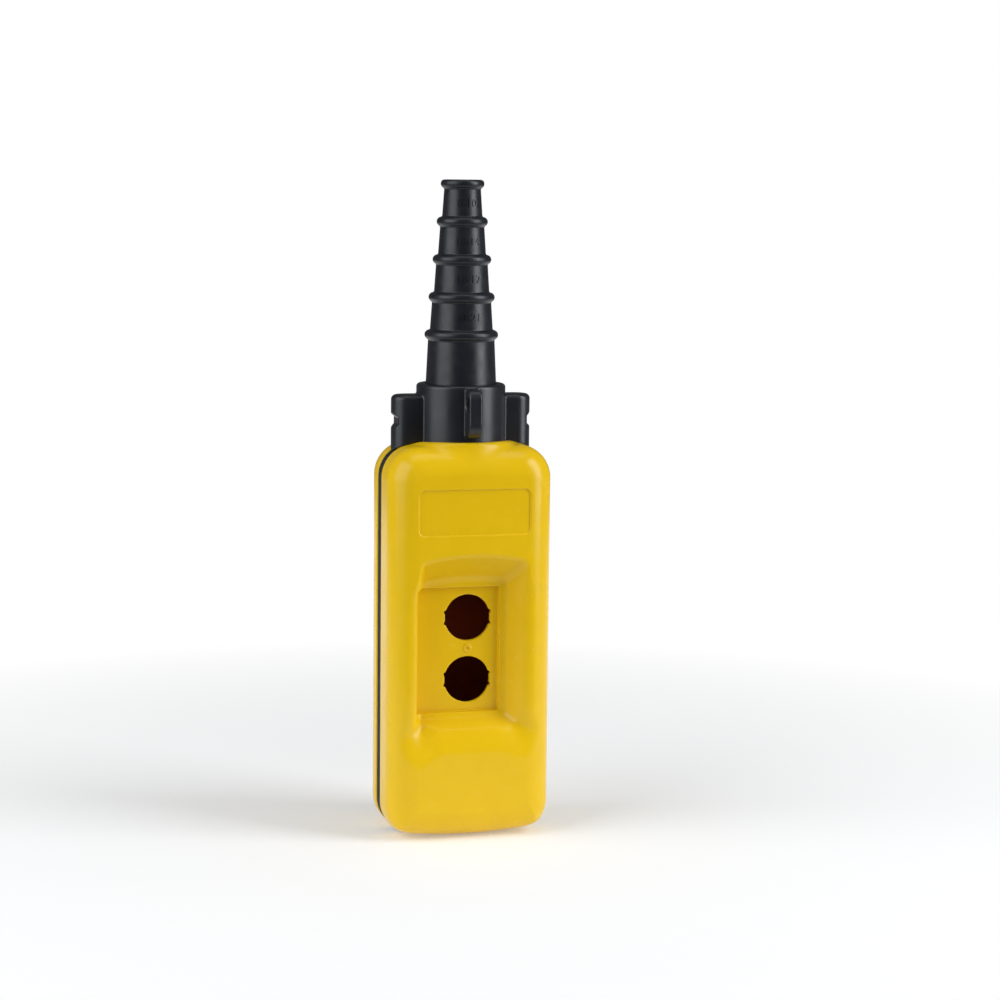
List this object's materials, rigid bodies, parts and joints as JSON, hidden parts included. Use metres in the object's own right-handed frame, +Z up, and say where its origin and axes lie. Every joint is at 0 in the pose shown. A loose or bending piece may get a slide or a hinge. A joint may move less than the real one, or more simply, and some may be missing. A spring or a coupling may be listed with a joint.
{
  "type": "pendant control station",
  "caption": "Hanging hand-held control station: yellow push-button enclosure with a thumb scoop, black suspension collar and stepped rubber cable sleeve.",
  "frame": {"origin": "under the middle of the case, at the height of its lowest face; the Z axis is the axis of the cable sleeve", "axes": "+X to the operator's right, -Y out of the front face, +Z up towards the cable"},
  "size_m": [0.08, 0.06, 0.3143],
  "materials": {
    "yellow_shell": "satin moulded polypropylene",
    "black_plastic": "satin moulded polyamide",
    "brown_phenolic": "satin moulded phenolic",
    "black_rubber": "satin moulded rubber",
    "seal_rubber": "matt",
    "zinc_steel": "zinc plated",
    "brass": "turned",
    "white_nylon": "satin",
    "label_foil": "matt foil"
  },
  "bodies": {
    "case": {"rear_shell": "yellow_shell", "seal_band": "seal_rubber", "suspension_collar": "black_plastic", "cable_sleeve": "black_rubber", "sleeve_lock_ring": "black_plastic", "neck_seal": "seal_rubber", "clamp_saddle": "black_plastic", "clamp_nuts": "brass", "contact_rail": "brown_phenolic", "rail_screw_1": "zinc_steel", "rail_screw_2": "zinc_steel", "rating_label": "label_foil", "screw_retainer_1": "white_nylon", "screw_retainer_2": "white_nylon", "screw_retainer_3": "white_nylon", "screw_retainer_4": "white_nylon"},
    "cover": {"front_cover": "yellow_shell", "insert_1": "brass", "insert_2": "brass", "insert_3": "brass", "insert_4": "brass"},
    "cable_clamp": {"clamp_bar": "zinc_steel", "clamp_screw_1": "zinc_steel", "clamp_screw_2": "zinc_steel"},
    "captive_screw_1": {"cover_screw_1": "zinc_steel", "screw_seal_1": "seal_rubber"},
    "captive_screw_2": {"cover_screw_2": "zinc_steel", "screw_seal_2": "seal_rubber"},
    "captive_screw_3": {"cover_screw_3": "zinc_steel", "screw_seal_3": "seal_rubber"},
    "captive_screw_4": {"cover_screw_4": "zinc_steel", "screw_seal_4": "seal_rubber"}
  },
  "joints": [
    {"name": "front_cover_lift", "type": "slide", "parent": "case", "child": "cover", "axis": [0, -1, 0], "range_m": [0, 0.05]},
    {"name": "cable_clamp_close", "type": "slide", "parent": "case", "child": "cable_clamp", "axis": [0, 1, 0], "range_m": [0, 0.009]},
    {"name": "cover_screw_1_back_out", "type": "slide", "parent": "case", "child": "captive_screw_1", "axis": [0, 1, 0], "range_m": [0, 0.0105]},
    {"name": "cover_screw_2_back_out", "type": "slide", "parent": "case", "child": "captive_screw_2", "axis": [0, 1, 0], "range_m": [0, 0.0105]},
    {"name": "cover_screw_3_back_out", "type": "slide", "parent": "case", "child": "captive_screw_3", "axis": [0, 1, 0], "range_m": [0, 0.0105]},
    {"name": "cover_screw_4_back_out", "type": "slide", "parent": "case", "child": "captive_screw_4", "axis": [0, 1, 0], "range_m": [0, 0.0105]}
  ]
}
